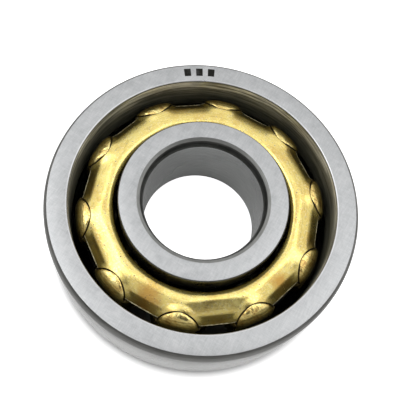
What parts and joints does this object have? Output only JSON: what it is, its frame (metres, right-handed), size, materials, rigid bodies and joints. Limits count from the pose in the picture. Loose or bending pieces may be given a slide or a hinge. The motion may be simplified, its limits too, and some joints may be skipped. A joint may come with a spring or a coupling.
{
  "type": "separable angular contact ball bearing",
  "caption": "Single-row separable ball bearing: shouldered outer ring, grooved inner ring and balls held in a pressed brass cage.",
  "frame": {"origin": "centre of the back face, the side with the outer ring's shoulder", "axes": "+Z along the bore axis towards the open side; +X through ball_01"},
  "size_m": [0.052, 0.052, 0.015],
  "materials": {
    "ring_steel": "finely ground",
    "ball_steel": "polished",
    "cage_brass": "pressed and tumbled"
  },
  "bodies": {
    "outer_ring": {"outer_ring": "ring_steel"},
    "inner_ring": {"inner_ring": "ring_steel"},
    "ball_cage": {"ball_cage": "cage_brass"},
    "ball_01": {"ball_01": "ball_steel"},
    "ball_02": {"ball_02": "ball_steel"},
    "ball_03": {"ball_03": "ball_steel"},
    "ball_04": {"ball_04": "ball_steel"},
    "ball_05": {"ball_05": "ball_steel"},
    "ball_06": {"ball_06": "ball_steel"},
    "ball_07": {"ball_07": "ball_steel"},
    "ball_08": {"ball_08": "ball_steel"},
    "ball_09": {"ball_09": "ball_steel"},
    "ball_10": {"ball_10": "ball_steel"}
  },
  "joints": [
    {"name": "inner_ring_spin", "type": "hinge", "parent": "outer_ring", "child": "inner_ring", "pos_m": [0, 0, 0.0075], "axis": [0, 0, 1], "continuous": true},
    {"name": "cage_orbit", "type": "hinge", "parent": "outer_ring", "child": "ball_cage", "pos_m": [0, 0, 0.0075], "axis": [0, 0, 1], "continuous": true},
    {"name": "ball_01_spin", "type": "hinge", "parent": "ball_cage", "child": "ball_01", "pos_m": [0.01745, 0, 0.0075], "axis": [0.2588, 0, 0.9659], "continuous": true},
    {"name": "ball_02_spin", "type": "hinge", "parent": "ball_cage", "child": "ball_02", "pos_m": [0.01412, 0.01026, 0.0075], "axis": [0.2094, 0.1521, 0.9659], "continuous": true},
    {"name": "ball_03_spin", "type": "hinge", "parent": "ball_cage", "child": "ball_03", "pos_m": [0.00539, 0.0166, 0.0075], "axis": [0.08, 0.2462, 0.9659], "continuous": true},
    {"name": "ball_04_spin", "type": "hinge", "parent": "ball_cage", "child": "ball_04", "pos_m": [-0.00539, 0.0166, 0.0075], "axis": [-0.08, 0.2462, 0.9659], "continuous": true},
    {"name": "ball_05_spin", "type": "hinge", "parent": "ball_cage", "child": "ball_05", "pos_m": [-0.01412, 0.01026, 0.0075], "axis": [-0.2094, 0.1521, 0.9659], "continuous": true},
    {"name": "ball_06_spin", "type": "hinge", "parent": "ball_cage", "child": "ball_06", "pos_m": [-0.01745, 0, 0.0075], "axis": [-0.2588, 0, 0.9659], "continuous": true},
    {"name": "ball_07_spin", "type": "hinge", "parent": "ball_cage", "child": "ball_07", "pos_m": [-0.01412, -0.01026, 0.0075], "axis": [-0.2094, -0.1521, 0.9659], "continuous": true},
    {"name": "ball_08_spin", "type": "hinge", "parent": "ball_cage", "child": "ball_08", "pos_m": [-0.00539, -0.0166, 0.0075], "axis": [-0.08, -0.2462, 0.9659], "continuous": true},
    {"name": "ball_09_spin", "type": "hinge", "parent": "ball_cage", "child": "ball_09", "pos_m": [0.00539, -0.0166, 0.0075], "axis": [0.08, -0.2462, 0.9659], "continuous": true},
    {"name": "ball_10_spin", "type": "hinge", "parent": "ball_cage", "child": "ball_10", "pos_m": [0.01412, -0.01026, 0.0075], "axis": [0.2094, -0.1521, 0.9659], "continuous": true}
  ],
  "couplings": [
    {"joint": "cage_orbit", "follows": "inner_ring_spin", "ratio": 0.3792},
    {"joint": "ball_01_spin", "follows": "inner_ring_spin", "ratio": -1.8819},
    {"joint": "ball_02_spin", "follows": "inner_ring_spin", "ratio": -1.8819},
    {"joint": "ball_03_spin", "follows": "inner_ring_spin", "ratio": -1.8819},
    {"joint": "ball_04_spin", "follows": "inner_ring_spin", "ratio": -1.8819},
    {"joint": "ball_05_spin", "follows": "inner_ring_spin", "ratio": -1.8819},
    {"joint": "ball_06_spin", "follows": "inner_ring_spin", "ratio": -1.8819},
    {"joint": "ball_07_spin", "follows": "inner_ring_spin", "ratio": -1.8819},
    {"joint": "ball_08_spin", "follows": "inner_ring_spin", "ratio": -1.8819},
    {"joint": "ball_09_spin", "follows": "inner_ring_spin", "ratio": -1.8819},
    {"joint": "ball_10_spin", "follows": "inner_ring_spin", "ratio": -1.8819}
  ]
}
